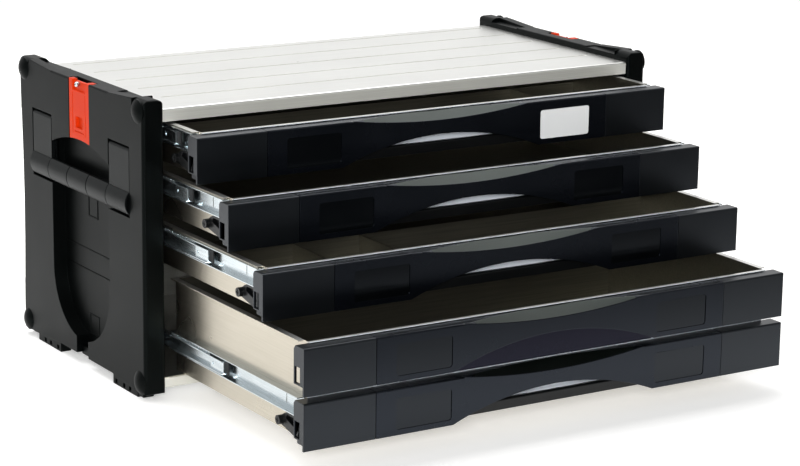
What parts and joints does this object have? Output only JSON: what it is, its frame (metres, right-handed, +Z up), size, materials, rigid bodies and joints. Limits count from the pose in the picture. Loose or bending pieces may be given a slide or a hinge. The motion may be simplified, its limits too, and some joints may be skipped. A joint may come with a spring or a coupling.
{
  "type": "portable tool box with drawers",
  "caption": "Stackable tool box with drawers on telescopic runners, folding side handles, release bars in the fronts and sliding stacking latches.",
  "frame": {"origin": "middle of the footprint with the drawers open as drawn, on the plane that the feet stand on", "axes": "+X along the width, to the right seen from the front; the drawers pull out towards -Y; +Z up"},
  "size_m": [0.62, 0.5684, 0.3055],
  "materials": {
    "moulded_grey": "textured moulding, dark grey",
    "front_black": "satin moulding, near black",
    "aluminium_sheet": "brushed",
    "tray_steel": "brushed, warm grey",
    "zinc_plate": "bright zinc plate",
    "latch_red": "satin moulding, orange red",
    "black_rubber": "soft black"
  },
  "bodies": {
    "case": {"side_panel_left": "moulded_grey", "side_panel_right": "moulded_grey", "top_plate": "aluminium_sheet", "bottom_plate": "aluminium_sheet", "back_panel": "aluminium_sheet", "case_screws": "zinc_plate", "case_runners": "zinc_plate", "hinge_pins": "zinc_plate"},
    "drawer_1": {"tray_1": "tray_steel", "dividers_1": "tray_steel", "front_1": "front_black", "cap_left_1": "front_black", "cap_right_1": "front_black", "badge_plate": "aluminium_sheet", "drawer_runners_1": "zinc_plate"},
    "mid_1": {"mid_runners_1": "zinc_plate", "runner_bumpers_1": "black_rubber"},
    "release_1": {"release_bar_1": "front_black", "release_levers_1": "front_black"},
    "drawer_2": {"tray_2": "tray_steel", "front_2": "front_black", "cap_left_2": "front_black", "cap_right_2": "front_black", "drawer_runners_2": "zinc_plate"},
    "mid_2": {"mid_runners_2": "zinc_plate", "runner_bumpers_2": "black_rubber"},
    "release_2": {"release_bar_2": "front_black", "release_levers_2": "front_black"},
    "drawer_3": {"tray_3": "tray_steel", "dividers_3": "tray_steel", "front_3": "front_black", "cap_left_3": "front_black", "cap_right_3": "front_black", "drawer_runners_3": "zinc_plate"},
    "mid_3": {"mid_runners_3": "zinc_plate", "runner_bumpers_3": "black_rubber"},
    "release_3": {"release_bar_3": "front_black", "release_levers_3": "front_black"},
    "drawer_4": {"tray_4": "tray_steel", "front_4_upper": "front_black", "front_4_lower": "front_black", "cap_left_4_upper": "front_black", "cap_left_4_lower": "front_black", "cap_right_4_upper": "front_black", "cap_right_4_lower": "front_black", "drawer_runners_4": "zinc_plate"},
    "mid_4": {"mid_runners_4": "zinc_plate", "runner_bumpers_4": "black_rubber"},
    "release_4": {"release_bar_4": "front_black", "release_levers_4": "front_black"},
    "handle_left": {"handle_bail_left": "moulded_grey", "handle_grip_left": "moulded_grey"},
    "latch_left": {"latch_left": "latch_red", "latch_eyelet_left": "zinc_plate"},
    "handle_right": {"handle_bail_right": "moulded_grey", "handle_grip_right": "moulded_grey"},
    "latch_right": {"latch_right": "latch_red", "latch_eyelet_right": "zinc_plate"}
  },
  "joints": [
    {"name": "drawer_1_slide", "type": "slide", "parent": "case", "child": "drawer_1", "axis": [0, -1, 0], "range_m": [-0.068, 0.207]},
    {"name": "mid_1_slide", "type": "slide", "parent": "case", "child": "mid_1", "axis": [0, -1, 0], "range_m": [-0.0408, 0.1242]},
    {"name": "release_1_hinge", "type": "hinge", "parent": "drawer_1", "child": "release_1", "pos_m": [0, -0.06725, 0.2421], "axis": [-1, 0, 0], "range_deg": [0, 14], "stiffness_Nm_per_rad": 0.5, "springref_deg": -17.19},
    {"name": "drawer_2_slide", "type": "slide", "parent": "case", "child": "drawer_2", "axis": [0, -1, 0], "range_m": [-0.131, 0.144]},
    {"name": "mid_2_slide", "type": "slide", "parent": "case", "child": "mid_2", "axis": [0, -1, 0], "range_m": [-0.0655, 0.072]},
    {"name": "release_2_hinge", "type": "hinge", "parent": "drawer_2", "child": "release_2", "pos_m": [0, -0.13025, 0.1898], "axis": [-1, 0, 0], "range_deg": [0, 14], "stiffness_Nm_per_rad": 0.5, "springref_deg": -17.19},
    {"name": "drawer_3_slide", "type": "slide", "parent": "case", "child": "drawer_3", "axis": [0, -1, 0], "range_m": [-0.198, 0.077]},
    {"name": "mid_3_slide", "type": "slide", "parent": "case", "child": "mid_3", "axis": [0, -1, 0], "range_m": [-0.10692, 0.04158]},
    {"name": "release_3_hinge", "type": "hinge", "parent": "drawer_3", "child": "release_3", "pos_m": [0, -0.19725, 0.1375], "axis": [-1, 0, 0], "range_deg": [0, 14], "stiffness_Nm_per_rad": 0.5, "springref_deg": -17.19},
    {"name": "drawer_4_slide", "type": "slide", "parent": "case", "child": "drawer_4", "axis": [0, -1, 0], "range_m": [-0.275, 0]},
    {"name": "mid_4_slide", "type": "slide", "parent": "case", "child": "mid_4", "axis": [0, -1, 0], "range_m": [-0.1375, 0]},
    {"name": "release_4_hinge", "type": "hinge", "parent": "drawer_4", "child": "release_4", "pos_m": [0, -0.27425, 0.0329], "axis": [-1, 0, 0], "range_deg": [0, 14], "stiffness_Nm_per_rad": 0.5, "springref_deg": -17.19},
    {"name": "handle_left_hinge", "type": "hinge", "parent": "case", "child": "handle_left", "pos_m": [-0.3017, 0.13675, 0.2495], "axis": [0, 1, 0], "range_deg": [0, 90]},
    {"name": "latch_left_slide", "type": "slide", "parent": "case", "child": "latch_left", "axis": [0, 0, 1], "range_m": [0, 0.016]},
    {"name": "handle_right_hinge", "type": "hinge", "parent": "case", "child": "handle_right", "pos_m": [0.3017, 0.13675, 0.2495], "axis": [0, -1, 0], "range_deg": [0, 90]},
    {"name": "latch_right_slide", "type": "slide", "parent": "case", "child": "latch_right", "axis": [0, 0, 1], "range_m": [0, 0.016]}
  ],
  "couplings": [
    {"joint": "mid_1_slide", "follows": "drawer_1_slide", "ratio": 0.6},
    {"joint": "mid_2_slide", "follows": "drawer_2_slide", "ratio": 0.5},
    {"joint": "mid_3_slide", "follows": "drawer_3_slide", "ratio": 0.54},
    {"joint": "mid_4_slide", "follows": "drawer_4_slide", "ratio": 0.5}
  ]
}
